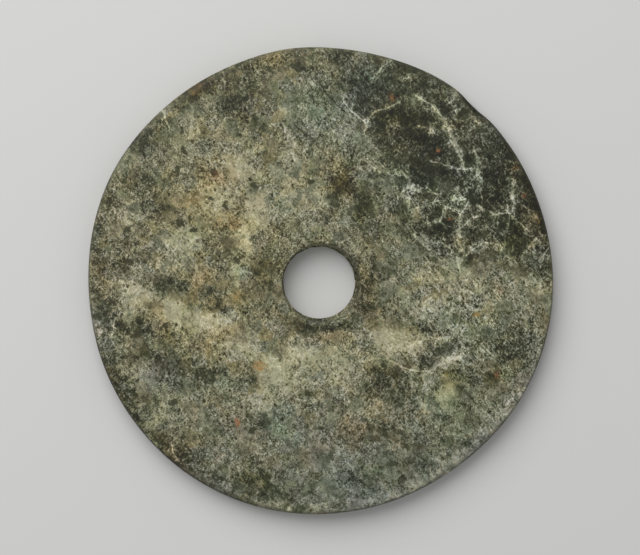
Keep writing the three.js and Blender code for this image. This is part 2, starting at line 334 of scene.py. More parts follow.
# Small dark grains of ore
DARK_SPOTS = [
    (-66, 27, 2.2, 1.6, -20, 0.22), (-59.5, 24, 1.5, 1.4, 0, 0.17), (-64, 61, 2.4, 0.9, -75, 0.24),
    (-67.5, 52, 1.0, 2.2, 0, 0.25), (-50, 51, 1.4, 1.4, 0, 0.3), (-56, 52, 0.8, 1.8, 10, 0.25),
    (-52, 39, 1.4, 1.1, 0, 0.14), (-44.5, 35, 1.8, 1.3, -50, 0.17), (-91, 24, 1.8, 1.5, 0, 0.15),
    (-5, 46.5, 2.6, 1.6, 20, 0.16), (-31, 45, 2.0, 1.2, -20, 0.2), (-20, 56, 2.0, 1.2, 0, 0.12),
    (-40, 10, 1.9, 1.6, 0, 0.14), (-55, 19, 1.6, 1.3, 0, 0.13), (-78, 33, 1.8, 1.5, 0, 0.12),
    (-73, -21, 2.6, 1.6, 20, 0.16), (-86, -24.5, 1.5, 1.9, 0, 0.17), (-85, -18, 1.8, 1.2, 0, 0.12),
    (-94, -20, 1.2, 2.2, 0, 0.09), (-82, -34, 2, 1.4, -20, 0.15), (-69, -57, 2.2, 1.6, 0, 0.16),
    (-32, -70, 2.2, 1.4, 20, 0.17), (-28, -67, 1.5, 1.3, 0, 0.14), (-6, -53, 2, 1.4, 0, 0.12),
    (-25, -92, 1.8, 1.5, 0, 0.13), (-4, -99.5, 1.6, 1.3, 0, 0.15), (-98, -10, 2, 1.5, 0, 0.13),
    (-59, -38, 2, 1.6, 0, 0.13), (-60, 66, 1, 1, 0, 0.14), (-55, 70, 1.1, 1, 0, 0.18),
    (-65, 71, 1.2, 2.6, -20, 0.13), (40, -77, 2, 1.6, 0, 0.14), (-55, -44, 1.6, 3, 20, 0.12),
    (-90, 9, 2, 1.6, 0, 0.13), (-83, 9, 1.6, 1.4, 0, 0.12), (48, -39, 1.6, 1.2, 0, 0.1),
    (-14, -68, 1.6, 1.2, 0, 0.08), (86, -52, 2, 1.4, 0, 0.1), (66, -50, 2.2, 1.8, 0, 0.12),
    (25, -98, 2, 1.2, 0, 0.1),
]
# Tints, from rust-brown (+) to green (-)
WARM_TINTS = [
    (-58, 91, 9, 4, 35, 0.8), (-22, 105, 11, 4, 10, 0.6), (-48, 49, 7, 6, 0, 0.6), (-57, 37, 6, 8, 0, 0.5),
    (-42, 27, 7, 5, -10, 0.8), (-56, 0, 5, 6, 0, 0.7), (-75, -17, 8, 8, 0, 0.5), (-55, -29, 7, 5, 0, 0.65),
    (-43, -24, 6, 4, 0, 0.45), (-37, -6, 4, 2.5, 0, 0.4), (-105, 3, 5, 9, 0, 0.6),
    (-98, -46, 5, 12, 25, 0.5), (-68, -81, 8, 6, -45, 0.5), (5, 55, 5, 5, 0, 0.6), (9, 46, 7, 7, 0, 0.5),
    (18, -69, 9, 5, 0, 0.7), (30, -60, 7, 6, 0, 0.5), (36, -79, 4, 4, 0, 0.4), (41, -27, 14, 6, -25, 0.15),
    (101, 36, 7, 15, 20, 1.0), (90, 52, 9, 4, 0, 0.5), (73, 80, 5, 3, -42, 0.6), (40, 68, 14, 9, -20, 0.3),
    (84, -4, 4, 5, 0, 0.5), (107, -19, 3, 6, 0, 0.5), (-55, 20, 55, 70, 0, 0.3), (22, -6, 7, 14, 0, 0.6),
    (2, -26, 12, 3, 0, 0.6), (25, -43, 8, 8, 0, 0.25), (25, 96, 11, 5, -10, -0.7),
    (8, 76, 20, 15, 0, -0.5), (-5, 84, 8, 8, 0, -0.4), (62, 44, 26, 10, 0, -0.4), (-37, 4, 4, 3, 0, -0.9),
    (-70, -3, 8, 7, 0, -0.4), (-45, -48, 7, 5, 0, -0.5), (-65, -48, 20, 5, 0, -0.3),
    (-17, -68, 7, 9, 0, -0.8), (15, -95, 28, 14, 0, -0.35), (62, -72, 26, 14, 35, -0.3),
    (70, -22, 16, 9, -20, -0.3), (-19, -99, 8, 6, 0, -0.4), (48, -55, 5, 5, 0, -0.4),
    (62, -55, 9, 8, 0, -0.3), (-62, 18, 8, 5, 0, -0.6), (-19, 35, 6, 5, 0, -0.4), (30, 48, 10, 8, 0, -0.5),
    (-70, -82, 6, 10, 50, 0.3),
]
# Tints, from blue-grey (+) to ochre (-)
# Along the bottom and lower right rim the blue-grey is partly painted sheen, reflected room light, and partly
# the stone's own
BLUE_TINTS_AND_SHEEN = [
    (20, 90, 10, 12, 0, 0.8), (5, 74, 16, 12, 0, 0.3), (60, 50, 30, 12, 0, 0.35),
    (88, 72, 12, 14, 40, 0.7), (104, 45, 6, 12, 20, 0.6), (-105, -18, 6, 14, 0, 0.6),
    (-76, -44, 8, 6, 0, 1.1), (-55, -94, 14, 6, -25, 0.8), (12, -92, 8, 8, 0, 0.9),
    (30, -105, 34, 8, 5, 1.0), (72, -82, 20, 6, 45, 1.0), (96, -50, 6, 20, -28, 0.8),
    (48, -85, 8, 6, 0, 0.5), (0, -80, 60, 26, 0, 0.4), (-75, 10, 8, 8, 0, 0.4), (55, -38, 6, 4, 0, 0.5),
    (-52, 25, 50, 65, 0, -0.3), (-58, 90, 10, 5, 35, -0.3), (-38, 27, 8, 5, 0, -0.3),
    (-88, -6, 8, 8, 0, 0.4), (-94, 30, 6, 8, 0, 0.2), (61, -51, 6, 9, 0, -0.7),
    (-60, -30, 14, 8, 0, -0.25), (-73, -26, 4, 6, 0, -0.7), (-36, -7, 4, 3, 0, -0.3),
    (10, 46, 7, 6, 0, -0.8), (36, 78, 10, 5, 0, -0.7), (91, 18, 5, 5, -40, -1.0), (52, 3, 12, 5, 0, -0.5),
    (40, -24, 12, 5, -25, -0.3), (62, -43, 7, 3, 0, -0.6), (84, -45, 6, 4, 0, -0.6),
    (25, -42, 9, 8, 0, -0.3), (-33, -91, 12, 7, 0, -0.6), (20, 34, 4, 5, 0, -0.6),
    (-22, 104, 12, 5, 10, -0.3), (22, -68, 10, 6, 0, -0.1),
]
# Spots of rust, from iron in the stone, and how red each one is, from ochre (0) to red-brown (1)
RUST_SPOTS = [
    ((55.5, 61.5, 1.3, 1.1, 0, 1.1), 0.8), ((34, 86, 2.2, 2.8, 0, 0.6), 0.75),
    ((61, 29, 2.4, 0.9, 0, 0.8), 0.85), ((-29, -40, 3.6, 2.6, 0, 1.1), 0.5),
    ((-39, -66, 1.9, 2.2, 0, 1.1), 0.85), ((73.5, -16, 2.4, 1.6, 0, 0.8), 0.35),
    ((59.5, -43.5, 1.5, 2.2, 0, 0.6), 0.0), ((83, -44, 1.8, 3.0, 0, 0.6), 1.0),
    ((-40, 26.5, 3.0, 2.4, 0, 0.5), 0.6), ((-57, 91, 5, 2.0, 35, 0.4), 0.5),
    ((92, 53, 2.0, 1.2, 0, 0.6), 0.7), ((-40, -7.5, 1.6, 1.6, 0, 0.6), 0.5),
    ((-49, 50, 2.2, 2.6, 0, 0.5), 0.9), ((96, 40, 1.5, 1.8, 0, 0.5), 0.9),
    ((102, 28, 1.0, 1.6, 40, 0.7), 0.4), ((-8, 107.5, 12, 1.2, 0, 0.3), 0.9),
    ((-42, -22, 3, 2, 0, 0.3), 0.4), ((85, -4, 2.5, 2.5, 0, 0.4), 0.9), ((2, -109, 8, 1.0, 0, 0.42), 1.0),
    ((16, 53, 1.2, 1.2, 0, 0.4), 0.9), ((-60, 88, 2.0, 1.6, 0, 0.35), 0.2),
    ((-57, 18, 1.0, 1.0, 0, 0.3), 0.2), ((-94, 46, 1.4, 1.2, 0, 0.4), 0.7),
    ((24, -45, 2.4, 2.0, 0, 0.25), 0.9),
]


def ovals(places, marks, steepness):
    """The sum of several soft ovals at each place. A steeper one has a flatter middle and a crisper edge"""
    total = np.zeros(places.shape[:-1])
    for across, up, half_length, half_width, lean, strength in marks:
        lean = math.radians(lean)
        away = places - (across, up)
        lengthwise = (away[..., 0] * math.cos(lean) + away[..., 1] * math.sin(lean)) / half_length
        widthwise = (away[..., 1] * math.cos(lean) - away[..., 0] * math.sin(lean)) / half_width
        total += strength * np.exp(-((lengthwise ** 2 + widthwise ** 2) ** steepness))
    return total


def wander(points, size, reach):
    """A sideways shift of each point by smooth noise, which makes ruled shapes look grown"""
    flat = points.reshape(-1, 3) / size
    shifts = [noise.noise_vector(Vector(point)) for point in flat]
    return np.array(shifts).reshape(points.shape)[..., :2] * reach


places = form[..., :2] + SLANT * (THICKNESS - height)[..., None]
places = places - SLANT * RIM_THINNING * (radius[..., None] / RADIUS) ** 2
noise.seed_set(WANDER_SEED)
cloud_places = places + wander(form, size=11, reach=3.5)
cloud_places = cloud_places + wander(form, size=4, reach=1.6) + wander(form, size=2, reach=0.7)
spot_places = places + wander(form, size=2.5, reach=0.7)

clouds = ovals(cloud_places, PALE_CLOUDS_AND_PAINTED_LIGHT, 1.3) - ovals(cloud_places, DARK_CLOUDS, 1.3)
stone = {
    "tone": MIDDLE_TONE + CLOUD_STRENGTH * clouds,
    "spot": SPOT_STRENGTH * ovals(spot_places, DARK_SPOTS, 1.2),
    "warmth": ovals(cloud_places, WARM_TINTS, 1.0),
    "blueness": ovals(cloud_places, BLUE_TINTS_AND_SHEEN, 1.0),
    "rust": ovals(spot_places, [spot for spot, redness in RUST_SPOTS], 1.2),
}
redness = sum(redness * ovals(spot_places, [spot], 1.2) for spot, redness in RUST_SPOTS)
stone["redness"] = redness / np.maximum(stone["rust"], 0.01)

# ---------------------------------------------------------------------------------------------------------
# The stone's veins: pale threads of later mineral that cross the dark clouds, and a few hairline cracks.
# Each one is a route of places across and up, its half-width and its strength.
# ---------------------------------------------------------------------------------------------------------
VEINS = [
    ([(21, 70), (21.5, 73), (22.5, 76), (25, 79), (28.5, 80.7), (33, 82), (37, 84)], 0.6, 0.8),
    ([(10, 86), (13, 82), (15, 79.5), (18, 76.5), (20.5, 74.5)], 0.5, 0.7),
    ([(25, 96), (29, 100), (33.5, 104)], 0.42, 0.7),
    ([(39.5, 95), (42, 96.5)], 0.4, 0.7),
    ([(45, 87), (50, 84.5)], 0.55, 0.6),
    ([(24, 86), (27, 86.5), (30, 87.5)], 0.4, 0.4),
    ([(28, 71.5), (31, 70), (35, 66)], 0.4, 0.5),
    ([(35, 71.7), (36.5, 73.5), (39.5, 71.3)], 0.45, 0.6),
    ([(46, 73), (48.7, 72.8)], 0.5, 0.8),
    ([(52, 72.8), (51.5, 71), (51, 69.3)], 0.7, 0.7),
    ([(52, 72.5), (54, 69)], 0.55, 0.6),
    ([(53, 82.5), (55, 80.5), (56, 78)], 1.0, 0.7),
    ([(57, 77), (58.6, 74.5), (60, 71)], 0.9, 0.8),
    ([(60, 76.5), (62.5, 73)], 0.45, 0.8),
    ([(60.5, 66), (63, 64.5), (64.5, 61)], 0.8, 0.5),
    ([(65.3, 60), (66.2, 57.5), (67.6, 54.7)], 0.5, 0.8),
    ([(60, 83.3), (62.5, 85)], 0.6, 0.6),
    ([(61.5, 89), (63, 86.5)], 0.6, 0.5),
    ([(61.5, 79), (63.3, 80.2)], 0.5, 0.8),
    ([(53, 56), (56.5, 56.3), (58.3, 54.8), (60.5, 54.5), (63, 53.2), (66, 53), (70.5, 53.2)], 0.5, 1.0),
    ([(72.5, 62), (74, 58.5), (73.7, 54), (73.5, 50), (75, 46), (73, 42)], 0.7, 0.8),
    ([(74, 58.3), (78, 58)], 0.45, 0.6),
    ([(38, 52), (41, 49.3), (42.5, 46)], 0.7, 0.9),
    ([(42, 45.5), (44, 43.8), (46.3, 42)], 0.8, 1.0),
    ([(20, 56.5), (24, 54), (27.3, 51.5)], 0.55, 0.8),
    ([(34.8, 51.8), (36, 50.3)], 0.5, 0.8),
    ([(40.5, 43), (41.5, 40), (41.5, 35.5)], 0.6, 0.6),
    ([(42, 33), (48, 34.5), (52, 36), (55, 38)], 0.8, 0.5),
    ([(50, 44), (53, 41.5), (56.5, 40)], 0.4, 0.6),
    ([(58, 36), (61, 34.8), (63.7, 33.2), (65.5, 31.5)], 0.55, 0.9),
    ([(65.5, 31.5), (68, 34), (69, 36.5)], 0.5, 1.0),
    ([(65.4, 31), (65.3, 26), (65, 21), (65.6, 18), (66.5, 15)], 1.3, 0.95),
    ([(65, 15), (64.5, 10), (65, 6)], 1.2, 0.6),
    ([(57.6, 33), (56.8, 29)], 0.6, 0.8),
    ([(50, 27.5), (53, 27.4), (56, 28), (59, 26.5), (62, 25)], 0.38, 0.7),
    ([(53, 17.5), (57, 18.2), (61, 15.5), (63.5, 12.5)], 0.4, 0.6),
    ([(42, 24), (46, 19.5), (50.5, 15)], 0.4, 0.5),
    ([(68.5, 12), (72, 15), (76, 18), (79, 18)], 0.55, 1.0),
    ([(84.5, 16), (86, 13), (88.5, 10), (90.5, 7.5)], 0.9, 0.5),
    ([(66.5, 25.5), (68.3, 28), (71, 30), (75, 30.3)], 0.5, 0.8),
    ([(80, 31), (84, 31.6), (89, 32)], 0.5, 0.8),
    ([(90.5, 46), (91, 41), (91.6, 36), (91, 33), (88.8, 31.7)], 0.95, 0.9),
    ([(88.8, 31.5), (89, 28), (87.5, 25), (86, 22)], 0.42, 0.8),
    ([(89.5, 31), (92, 28.5), (95, 26), (98, 23.5)], 0.5, 0.7),
    ([(85, 35), (87.5, 36), (88.7, 33)], 0.38, 0.6),
    ([(75, 42), (76, 38), (76, 34), (75.5, 31)], 0.5, 0.7),
    ([(78, 38), (80.3, 40)], 0.45, 0.8),
    ([(80, 36), (83, 33)], 0.35, 0.5),
    ([(61.5, 39), (65, 38), (68, 38.5)], 0.6, 0.9),
    ([(95, 11), (97, 15), (101, 20)], 0.9, 0.5),
    ([(100, 14), (103.5, 9.5)], 0.4, 0.6),
    ([(103.5, 10), (106, 13.5), (108, 16.5)], 0.45, 0.7),
    ([(98.8, 33.5), (101, 31)], 0.6, 1.0),
    ([(96.5, 34.2), (98, 33.2)], 0.45, 0.9),
    ([(-73, 80), (-73, 76), (-71.5, 72)], 0.59, 0.8),
    ([(-94, -15), (-97, -19), (-98, -26)], 0.45, 0.6),
    ([(-98, -51), (-93, -49), (-88, -45.5)], 0.68, 0.4),
    ([(-70, -77), (-69, -81), (-67, -84.5)], 0.42, 0.7),
    ([(19, -38), (26, -36.5), (33, -37), (38, -40.5)], 0.6, 0.5),
    ([(38, -40.5), (45, -42.5), (51, -42)], 0.5, 0.6),
    ([(51, -42), (56, -39.5), (61, -37), (65, -35.5)], 1.4, 0.42),
    ([(44.5, -29.5), (49, -27.5), (55, -26.5), (61, -27)], 1.2, 0.45),
    ([(85, -62), (90, -58), (95, -51)], 0.51, 0.3),
]
CRACKS = [
    ([(-2, 96), (2, 89), (7, 84), (11, 79.5)], 0.4, 1.0),
    ([(-12, 73), (-9, 70.5), (-7, 69)], 0.4, 0.8),
    ([(88, -51), (92, -56), (95, -58)], 0.3, 0.8),
    ([(41, 43), (49, 33), (56, 27), (62, 20)], 0.3, 0.5),
]
# Where pale threads make a net over the dark stone, and where the fibres show most
NETTED_PLACES = [
    (68, 40, 13, 9, 0, 1.0), (46, 42, 10, 12, 0, 0.6), (84, 26, 15, 11, -10, 0.8),
    (58, 22, 14, 11, 0, 0.35), (62, 82, 20, 9, -35, 0.7), (76, 72, 9, 12, 0, 0.35),
    (90, 42, 4, 12, 0, 0.5), (60, 66, 5, 12, 30, 0.5), (82, 52, 10, 8, 0, 0.3), (100, 15, 8, 8, 0, 0.6),
    (30, 50, 9, 7, -30, 0.4), (55, 60, 10, 8, 0, 0.3), (-98, -25, 8, 18, 0, 0.35),
    (-80, 10, 12, 8, 0, 0.3),
]
FELTED_PLACES = [
    (78, -22, 38, 38, 0, 0.6), (2, 86, 30, 20, 0, 0.5), (-30, 50, 18, 20, 0, -0.25),
    (40, 70, 20, 14, 0, -0.35), (30, -28, 18, 8, 0, -0.2), (-60, -15, 18, 10, 0, -0.15),
]
# Where the grains are bolder (+) or fainter (-)
GRAINY_PLACES = [
    (70, -18, 18, 12, 0, 0.4), (45, -90, 45, 18, 15, -0.32), (-35, -98, 35, 10, -12, -0.22),
    (-80, -70, 10, 14, -45, -0.2), (0, -92, 30, 14, 0, -0.15), (56, 90, 30, 16, -40, -0.38),
    (20, 90, 20, 14, 0, -0.15), (-60, 92, 20, 8, 35, -0.12), (-75, 55, 12, 14, 0, -0.12),
    (-97, -40, 10, 20, 0, -0.15), (95, 25, 12, 30, 0, -0.15), (-20, 40, 22, 20, 0, 0.12),
]
# Where the very edge is darker, from old dirt and painted shade where it turns away: direction, spread,
# strength
RIM_DIRT_AND_SHADE = [
    (18, 18, 0.9), (172, 22, 1.0), (218, 32, 1.0), (290, 12, 0.6), (332, 20, 0.9), (92, 16, -0.2),
    (125, 18, -0.2), (48, 3.8, 1.0), (263, 2, -1.0), (303.5, 2, -0.9), (311, 2, -0.9),
]
EVEN_DIRT_AND_SHADE = 0.25  # what the whole edge has, before the darker stretches
VEIN_REACH = 2.2  # how far outside a vein its edge is still worked out, in millimetres


def offsets_from(places, routes):
    """At each place, the signed distance to the nearest route, in half-widths of it, and its strength"""
    nearest = np.full(places.shape[:-1], 1e9)
    offset = np.zeros_like(nearest)
    nearness = np.zeros_like(nearest)
    for route, half_width, strength in routes:
        for start, end in zip(np.array(route[:-1], float), np.array(route[1:], float)):
            run = end - start
            from_start = places - start
            share = np.clip((from_start @ run) / (run @ run), 0, 1)
            away = np.linalg.norm(from_start - share[..., None] * run, axis=-1)
            side = np.where(run[0] * from_start[..., 1] > run[1] * from_start[..., 0], 1, -1)
            closer = away < nearest
            nearest = np.where(closer, away, nearest)
            offset = np.where(closer, side * away / half_width, offset)
            fading = strength * np.clip((half_width + VEIN_REACH - away) / VEIN_REACH, 0, 1)
            nearness = np.where(closer, fading, nearness)
    return offset, nearness


vein_places = places + wander(form, size=5, reach=0.8)
stone["vein_offset"], stone["vein_nearness"] = offsets_from(vein_places, VEINS)
stone["crack_offset"], stone["crack_nearness"] = offsets_from(vein_places, CRACKS)
stone["netting"] = ovals(cloud_places, NETTED_PLACES, 1.2)
stone["fibre"] = 0.6 + ovals(cloud_places, FELTED_PLACES, 1.0)
stone["graininess"] = 1 + ovals(cloud_places, GRAINY_PLACES, 1.0)
stone["ground_edge"] = smoothstep(inset, 3.2, 2.2)
dirt_and_shade = np.clip(EVEN_DIRT_AND_SHADE + marks_at(direction, RIM_DIRT_AND_SHADE), 0, 1)
stone["rim_dirt"] = dirt_and_shade * smoothstep(inset, 1.7, 0.5) * smoothstep(height, 0.5, 3)

# ---------------------------------------------------------------------------------------------------------
# The disc's mesh: one closed skin round the stone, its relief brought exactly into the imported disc's box.
# It carries the stone's fields at its points, where the material reads them.
# ---------------------------------------------------------------------------------------------------------
MM = 0.001
low, high = (np.array(corner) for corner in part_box("disc"))
points = relief.reshape(-1, 3) * MM
own_low, own_high = points.min(axis=0), points.max(axis=0)
points = low + (points - own_low) * (high - low) / (own_high - own_low)

stations = len(section)
station, step = np.meshgrid(np.arange(stations), np.arange(DIRECTIONS), indexing="ij")
next_station = (station + 1) % stations
next_step = (step + 1) % DIRECTIONS
corners = np.stack((
    station * DIRECTIONS + step,
    next_station * DIRECTIONS + step,
    next_station * DIRECTIONS + next_step,
    station * DIRECTIONS + next_step,
), axis=-1).reshape(-1, 4)

disc_mesh = bpy.data.meshes.new("nephrite_disc")
disc_mesh.from_pydata(points.tolist(), [], corners.tolist())
disc_mesh.shade_smooth()
for name, values in stone.items():
    disc_mesh.attributes.new(name, "FLOAT", "POINT").data.foreach_set("value", values.ravel())
disc_mesh.update()
disc = bpy.data.objects.new("nephrite_disc", disc_mesh)
bpy.context.scene.collection.objects.link(disc)


# ---------------------------------------------------------------------------------------------------------
# The nephrite: mottled grey-green to olive, with felted fibres that mostly run down to the right.
# Its polish is worn to a soft sheen, and the ground edge shows less of the grain than the faces.
# ---------------------------------------------------------------------------------------------------------
class Shade:
    """A socket of a node tree, or the tree itself. Arithmetic on a socket adds its Math nodes"""

    def __init__(self, tree, socket=None):
        self.tree = tree
        self.socket = socket

    def node(self, kind, settings=None, inputs=None, output=0):
        """Adds a node: its settings first, then the values or links of its sockets, by name or number"""
        made = self.tree.nodes.new(kind)
        for setting, value in (settings or {}).items():
            if setting == "stops":
                while len(made.color_ramp.elements) < len(value):
                    made.color_ramp.elements.new(0.5)
                for stop, (position, colour) in zip(made.color_ramp.elements, value):
                    stop.position = position
                    stop.color = colour
            else:
                setattr(made, setting, value)
        for name, value in (inputs or {}).items():
            if isinstance(value, Shade):
                self.tree.links.new(value.socket, made.inputs[name])
            else:
                made.inputs[name].default_value = value
        return Shade(self.tree, made.outputs[output]) if made.outputs else None

    def also(self, output):
        """Another output of the node that this socket belongs to"""
        return Shade(self.tree, self.socket.node.outputs[output])

    def maths(self, operation, *values):
        return self.node("ShaderNodeMath", {"operation": operation}, dict(enumerate(values)))

    def __add__(self, other):
        return self.maths("ADD", self, other)

    def __radd__(self, other):
        return self.maths("ADD", other, self)

    def __sub__(self, other):
        return self.maths("SUBTRACT", self, other)

    def __rsub__(self, other):
        return self.maths("SUBTRACT", other, self)

    def __mul__(self, other):
        return self.maths("MULTIPLY", self, other)

    def __rmul__(self, other):
        return self.maths("MULTIPLY", other, self)

    def __abs__(self):
        return self.maths("ABSOLUTE", self)

    def clamped(self):
        return self.maths("MINIMUM", self, 1.0)

    def ramped(self, low, high):
        """0 at one value and 1 at the other, with a smooth passage between them"""
        sockets = {"Value": self, "From Min": low, "From Max": high}
        return self.node("ShaderNodeMapRange", {"interpolation_type": "SMOOTHSTEP"}, sockets)


def linear(*chart):
    """A colour chart's 0 to 255 values as the light that a shader works with, and a full alpha"""
    shares = [value / 255 for value in chart]
    light = [share / 12.92 if share < 0.04045 else ((share + 0.055) / 1.055) ** 2.4 for share in shares]
    return (*light, 1)


# The stone's colours, from its darkest tone to its palest
STONE_COLOURS = [
    (0.0, linear(20, 20, 8)), (0.18, linear(42, 43, 25)), (0.29, linear(66, 67, 45)),
    (0.375, linear(87, 88, 66)), (0.42, linear(107, 107, 85)), (0.50, linear(121, 120, 96)),
    (0.55, linear(141, 139, 112)), (0.66, linear(160, 157, 128)), (0.85, linear(205, 201, 172)),
]
OCHRE_RUST = linear(168, 150, 78)
RED_RUST = linear(130, 72, 52)
GROUND_EDGE_GREY = linear(96, 94, 80)
# Tints, which multiply the stone's colour
BROWN_TINT = (1.2, 0.97, 0.76, 1)
GREEN_TINT = (0.84, 1.03, 0.97, 1)
BLUE_AND_SHEEN_TINT = (0.98, 1.0, 1.34, 1)
OCHRE_TINT = (1.04, 1.0, 0.66, 1)
DIRT_AND_SHADE_TINT = (0.42, 0.42, 0.4, 1)
# How much each kind of marking moves the stone's tone, from black (0) to white (1)
MEAN_TONE = 0.397
CLOUD_TONE = 0.77
CREAM_TONE = 0.084
DEEP_TONE = -0.11
BLOTCH_TONE = 0.1
CLOT_TONE = 0.157
LARGE_PATCH_TONE = 0.11
SMALL_PATCH_TONE = 0.1
CRUMB_TONE = 0.1
GRIT_TONE = 0.67
DARK_GRAIN_TONE = -0.138
BLACK_GRAIN_TONE = -0.2
HAIR_TONE = 0.11
PALE_FLECK_TONE = 0.16
LARGE_WEB_TONE = 0.2
FINE_WEB_TONE = 0.16
VEIN_TONE = 0.235
CRACK_TONE = -0.2
ORE_TONE = 0.19  # of the ore itself, which covers the stone
ORE_COVER = 0.8
FIBRE_LEAN = -50  # of the felted fibres, in degrees: down to the right
WORN_POLISH = 0.52
NEPHRITE_IOR = 1.61
GLOSS = 0.18
BUMP_DEPTH = 0.12 * MM

nephrite = bpy.data.materials.new("nephrite")
nephrite.use_nodes = True
nephrite.node_tree.nodes.clear()
shade = Shade(nephrite.node_tree)


def field(name):
    """One of the stone's fields, which the mesh carries at its points"""
    return shade.node("ShaderNodeAttribute", {"attribute_name": name}, output="Fac")


def stretched(place, lean, length, width):
    """Places turned and squeezed, so that noise on them makes leaning fibres of that size"""
    return shade.node("ShaderNodeMapping", {"vector_type": "TEXTURE"}, {
        "Vector": place, "Rotation": (0, 0, math.radians(lean)), "Scale": (length, width, width)
    })


def speckle(place, detail):
    """Noise round 0, with features about one unit wide"""
    return shade.node("ShaderNodeTexNoise", {}, {"Vector": place, "Scale": 1.0, "Detail": detail}) - 0.5


def shaken(place, size, reach):
    """Places shifted by noise, so that what is drawn on them gets ragged edges"""
    sockets = {"Vector": place, "Scale": 1 / size, "Detail": 2}
    shift = shade.node("ShaderNodeTexNoise", {}, sockets, output="Color")
    centred = shade.node("ShaderNodeVectorMath", {"operation": "SUBTRACT"}, {0: shift, 1: (0.5, 0.5, 0.5)})
    scaled = shade.node("ShaderNodeVectorMath", {"operation": "SCALE"}, {"Vector": centred, "Scale": reach})
    return shade.node("ShaderNodeVectorMath", {"operation": "ADD"}, {0: place, 1: scaled})


def patches(place, size):
    """Ragged patches of one size: their own tone, tint and second tint round 0, and how far to their edge"""
    sockets = {"Vector": place, "Scale": 1 / size}
    cells = shade.node("ShaderNodeTexVoronoi", {"feature": "F1"}, sockets, output="Color")
    edge = shade.node("ShaderNodeTexVoronoi", {"feature": "DISTANCE_TO_EDGE"}, sockets)
    parts = [shade.node("ShaderNodeSeparateColor", {}, {0: cells}, output=part) - 0.5 for part in range(3)]
    return *parts, edge * size


def strokes(place, lean, length, width, amount):
    """Short crisp strokes that lean one way. The amount is the share of places, from 0 to 1, that have one"""
    sockets = {"Vector": stretched(place, lean, length, width), "Scale": 1.0}
    cells = shade.node("ShaderNodeTexVoronoi", {"feature": "F1"}, sockets)
    chance = shade.node("ShaderNodeSeparateColor", {}, {0: cells.also("Color")})
    return cells.ramped(0.56, 0.40) * (amount - chance).ramped(0.0, 0.06)


def threads(place, lean, length, width):
    """Long thin threads that lean one way, where drawn-out noise crosses its middle"""
    return abs(speckle(stretched(place, lean, length, width), detail=1)).ramped(0.045, 0.012)


def blended(first, second, amount, way="MIX"):
    """Blends two colours. A Mix node has several sockets of the same name, so they are found by number"""
    amount_socket, first_socket, second_socket, result = 0, 6, 7, 2
    settings = {"data_type": "RGBA", "blend_type": way, "clamp_factor": True}
    sockets = {amount_socket: amount, first_socket: first, second_socket: second}
    return shade.node("ShaderNodeMix", settings, sockets, output=result)


def tinted(colour, tint, amount):
    """Multiplies a colour by a tint, as far as the amount says"""
    return blended(colour, tint, amount, "MULTIPLY")


metres = shade.node("ShaderNodeTexCoord", output="Object")
place = shade.node("ShaderNodeVectorMath", {"operation": "SCALE"}, {"Vector": metres, "Scale": 1 / MM})
blotches = speckle(stretched(place, FIBRE_LEAN, 9, 6), detail=3)
clots = speckle(stretched(place, FIBRE_LEAN, 3.6, 2.6), detail=3)
crumbs = speckle(stretched(place, FIBRE_LEAN, 1.5, 1.1), detail=2)
grit = speckle(stretched(place, 0, 0.7, 0.7), detail=1)
ragged = shaken(place, size=1.3, reach=1.2)
large_tone, large_warmth, large_blueness, large_edge = patches(shaken(place, size=3.0, reach=6.0), size=6.5)
small_tone, small_warmth, small_blueness, small_edge = patches(shaken(place, size=1.5, reach=2.5), size=2.4)
base = field("tone")
fibre_strength = field("fibre")
vein_nearness = field("vein_nearness")
netting = field("netting") + vein_nearness.ramped(0.0, 0.9) * 0.7
ground_edge = field("ground_edge")

# The clouds have ragged borders: level picks out the smooth cream patches and the deep ones
level = base + blotches * 0.26 + clots * 0.42 + crumbs * 0.26
cream = level.ramped(0.465, 0.528)
deep = level.ramped(0.37, 0.28) * (1 - netting * 0.35)

# Dark grains lie thickly in some places and thinly in others, and pale flecks lie between them
crowding = blotches * 0.9 + clots * 1.2
dark_amount = 0.46 - cream * 0.34 - deep * 0.05 + crowding
dark_grains = strokes(ragged, 70, 2.0, 0.9, dark_amount)
dark_grains = dark_grains + strokes(ragged, -52, 3.6, 0.85, dark_amount * fibre_strength)
black_grains = strokes(ragged, 100, 2.2, 1.5, 0.13 + crowding * 0.8)
pale_amount = 0.34 - crowding * 0.8 + deep * 0.12 + netting * 0.5
pale_flecks = strokes(ragged, -52, 3.8, 0.75, pale_amount * fibre_strength)
pale_flecks = pale_flecks + strokes(ragged, 40, 2.8, 0.75, pale_amount * 0.7)
pale_flecks = pale_flecks + strokes(ragged, 85, 3.0, 0.75, pale_amount * 0.6)

# Hair-fine pale threads cross the stone, most of them down to the right
hairs = threads(place, FIBRE_LEAN, 7, 1.5) * (crumbs + clots * 0.8).ramped(-0.12, 0.08) * fibre_strength
hairs = hairs + threads(place, 43, 6, 1.6) * (clots * 0.8 - crumbs).ramped(-0.1, 0.1) * 0.8
hairs = hairs + threads(place, 95, 7, 2.2) * (clots - crumbs * 0.5).ramped(-0.06, 0.1) * 0.6

# Some patches are smooth inside, and in places pale threads run between them
calm = abs(large_warmth).ramped(0.26, 0.40)
large_web = large_edge.ramped(0.5, 0.15) * (blotches + crumbs * 0.5).ramped(-0.1, 0.05)
fine_web = small_edge.ramped(0.36, 0.1) * (clots + crumbs * 0.5).ramped(-0.06, 0.1)
net = (large_web * LARGE_WEB_TONE + fine_web * FINE_WEB_TONE) * (netting * 0.8 + 0.3)

# Veins, cracks and grains of ore get ragged edges, and the veins are broken in places
vein_offset = field("vein_offset") + clots * 1.3 + crumbs * 1.4 + grit * 1.2
vein = abs(vein_offset).ramped(1.05, 0.35) * vein_nearness.ramped(0.15, 0.7)
vein = vein * (clots + crumbs * 0.7).ramped(-0.3, -0.04)
crack = abs(field("crack_offset") + grit * 1.5).ramped(1.2, 0.4)
crack = crack * field("crack_nearness").ramped(0.2, 0.8)
ore = (field("spot") + clots * 1.4 + crumbs * 1.6).ramped(0.32, 0.6)

